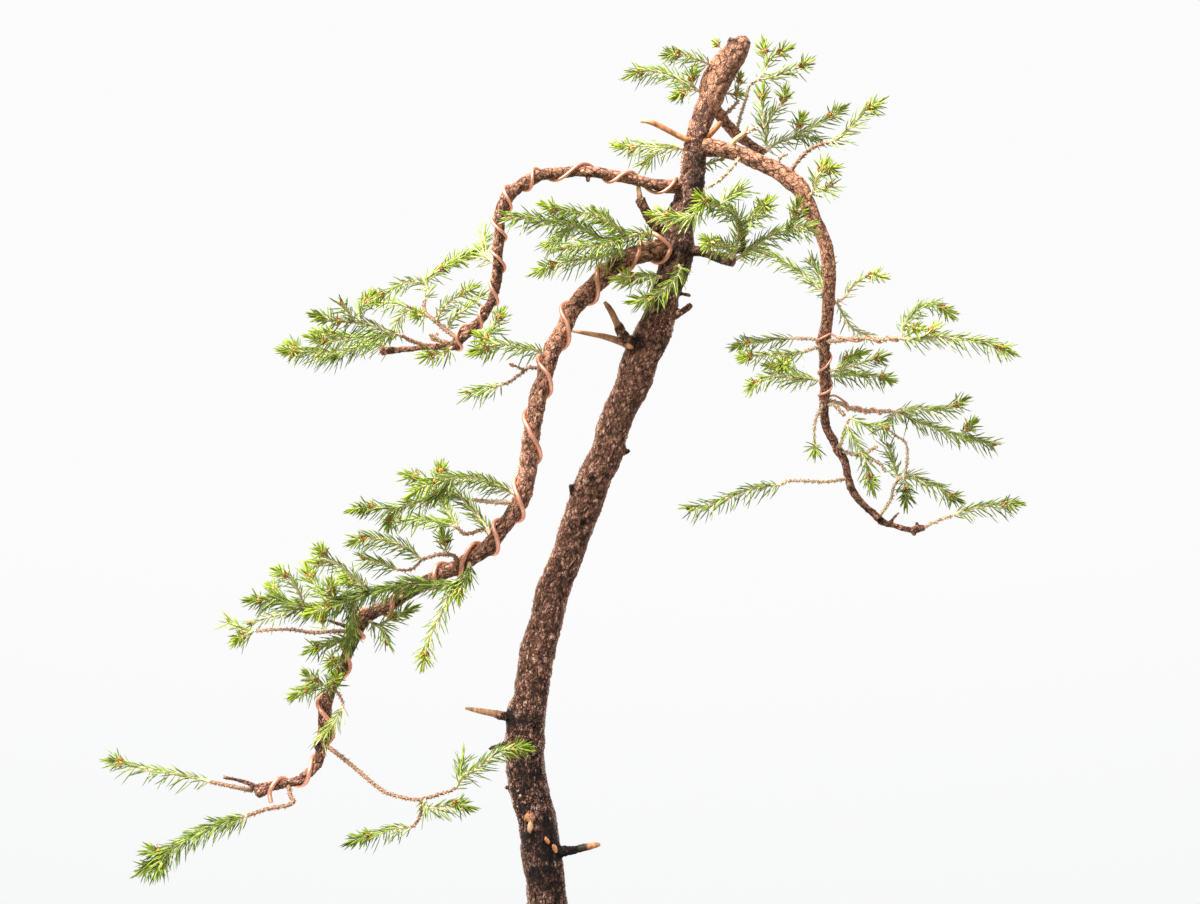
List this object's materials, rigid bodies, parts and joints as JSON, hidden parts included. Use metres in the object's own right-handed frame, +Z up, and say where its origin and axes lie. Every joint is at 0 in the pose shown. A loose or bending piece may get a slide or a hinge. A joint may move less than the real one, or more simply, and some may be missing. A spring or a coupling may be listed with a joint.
{
  "type": "spruce bonsai in a pot",
  "caption": "Bare, gently curved conifer trunk with long drooping wired branches and needle sprays, standing in soil in a rectangular footed pot.",
  "frame": {"origin": "under the middle of the pot, on the surface that its feet stand on", "axes": "+Z up, +X to the right as the tree's front is seen, +Y away from the viewer"},
  "size_m": [0.6598, 0.206, 0.7659],
  "materials": {
    "bark": "rough flaking bark",
    "needles": "satin green needles",
    "copper_wire": "satin annealed copper",
    "soil": "coarse granules",
    "pot": "unglazed fired clay"
  },
  "bodies": {
    "root": {"trunk": "bark", "wire_upper_left": "copper_wire", "wire_lower_left": "copper_wire", "wire_right": "copper_wire", "soil": "soil", "pot": "pot", "spray_crown_tip": "needles", "spray_crown_left_upper": "needles", "spray_crown_left_middle": "needles", "spray_crown_left_lower": "needles", "spray_crown_front": "needles", "spray_crown_low": "needles", "spray_crown_right": "needles", "spray_shoulder_back": "needles", "spray_shoulder_front": "needles", "spray_shoulder_side": "needles", "spray_front_high": "needles", "spray_front_low": "needles", "spray_front_right": "needles", "spray_right_inner": "needles", "spray_right_behind": "needles", "spray_neck_left": "needles", "spray_neck_front": "needles", "spray_middle_left_upper": "needles", "spray_middle_left_lower": "needles", "spray_right_side": "needles", "spray_inner_right_high": "needles", "spray_inner_right_bright": "needles", "spray_inner_right_low": "needles", "spray_outer_right_upper": "needles", "spray_outer_right_lower": "needles", "spray_outer_right_top": "needles", "spray_outer_right_middle": "needles", "spray_outer_right_hanging": "needles", "spray_right_star": "needles", "spray_low_right_inner": "needles", "spray_low_right_fan": "needles", "spray_low_right_end": "needles", "spray_upper_left_rise": "needles", "spray_upper_left_outer": "needles", "spray_upper_left_low": "needles", "spray_upper_left_under": "needles", "spray_upper_left_inner": "needles", "spray_upper_left_back": "needles", "spray_middle_low": "needles", "spray_middle_bare": "needles", "spray_lower_left_high": "needles", "spray_lower_left_long": "needles", "spray_lower_left_rise": "needles", "spray_lower_left_wood": "needles", "spray_lower_left_sweep": "needles", "spray_lower_left_thin": "needles", "spray_lower_left_inner": "needles", "spray_lower_left_knuckle": "needles", "spray_lower_left_bud": "needles", "spray_lower_left_low": "needles", "spray_low_tip_long": "needles", "spray_low_tip_full": "needles", "spray_low_inner": "needles"}
  },
  "joints": []
}
